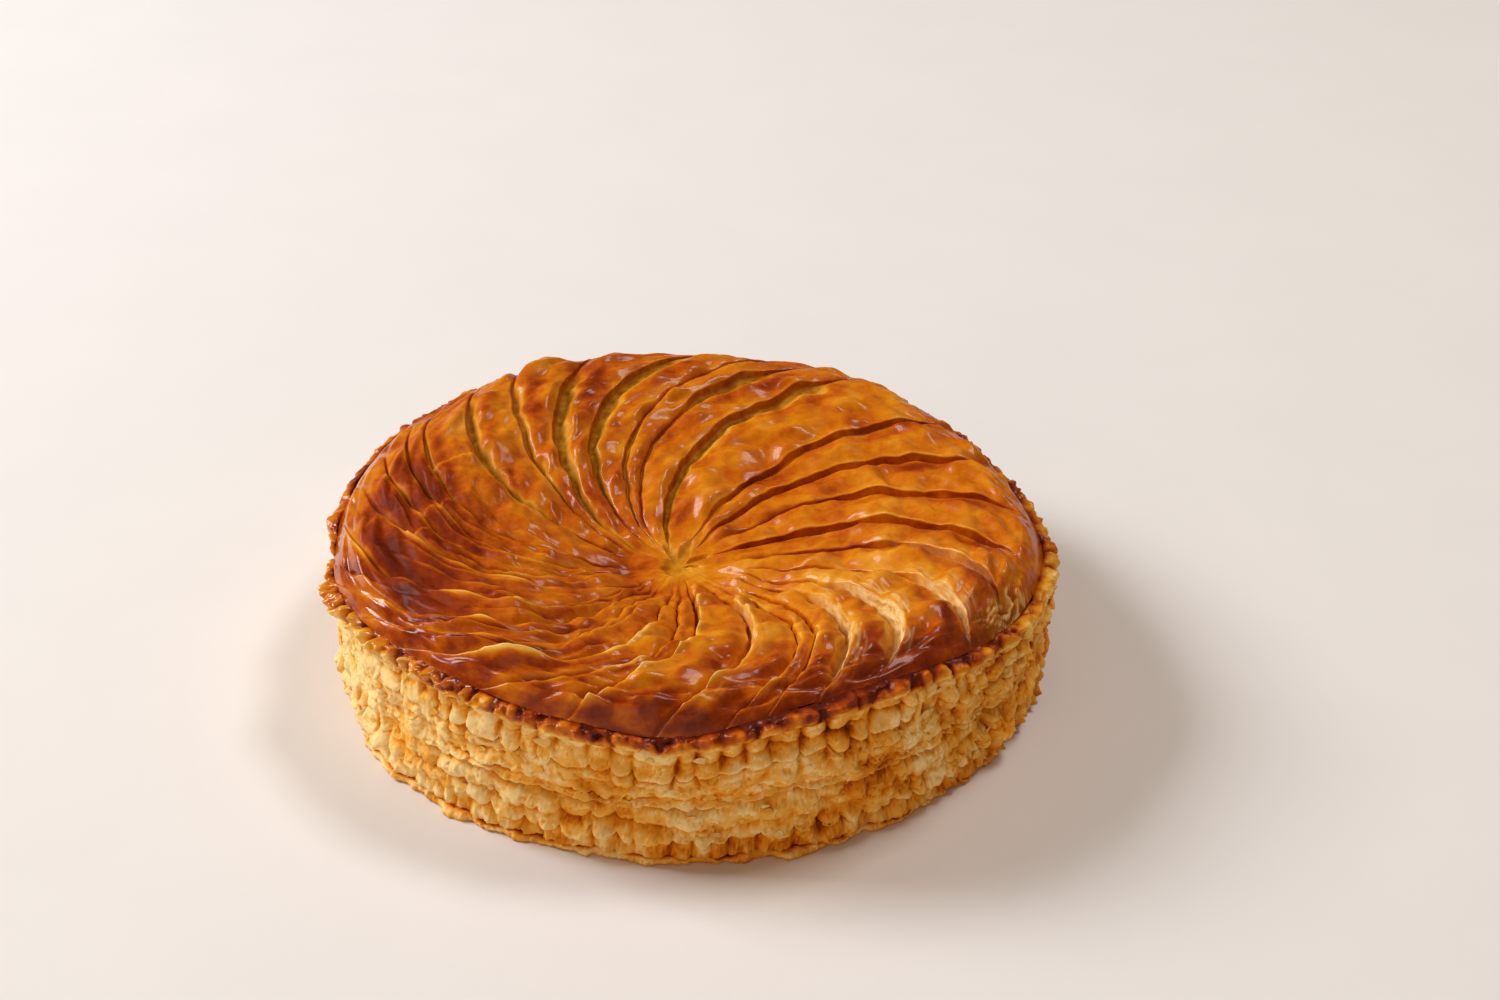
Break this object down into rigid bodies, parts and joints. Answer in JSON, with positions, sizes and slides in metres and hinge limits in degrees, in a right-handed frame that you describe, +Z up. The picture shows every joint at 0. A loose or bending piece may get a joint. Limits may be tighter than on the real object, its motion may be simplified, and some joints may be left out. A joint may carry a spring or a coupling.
{
  "type": "galette des rois",
  "caption": "Whole round puff-pastry cake with a dished, glazed lid scored in a swirl of curved cuts and a flaky crimped side.",
  "frame": {"origin": "middle of the flat underside, which is the bottom centre of the bounding box", "axes": "+Z up through the lid, +Y towards the back of the cake, +X to the right seen from the front"},
  "size_m": [0.229, 0.23, 0.0592],
  "materials": {
    "crust": "egg-washed puff pastry: amber to red-brown and softly glossy on the lid, pale gold and flaky on the side"
  },
  "bodies": {
    "root": {"galette": "crust"}
  },
  "joints": []
}
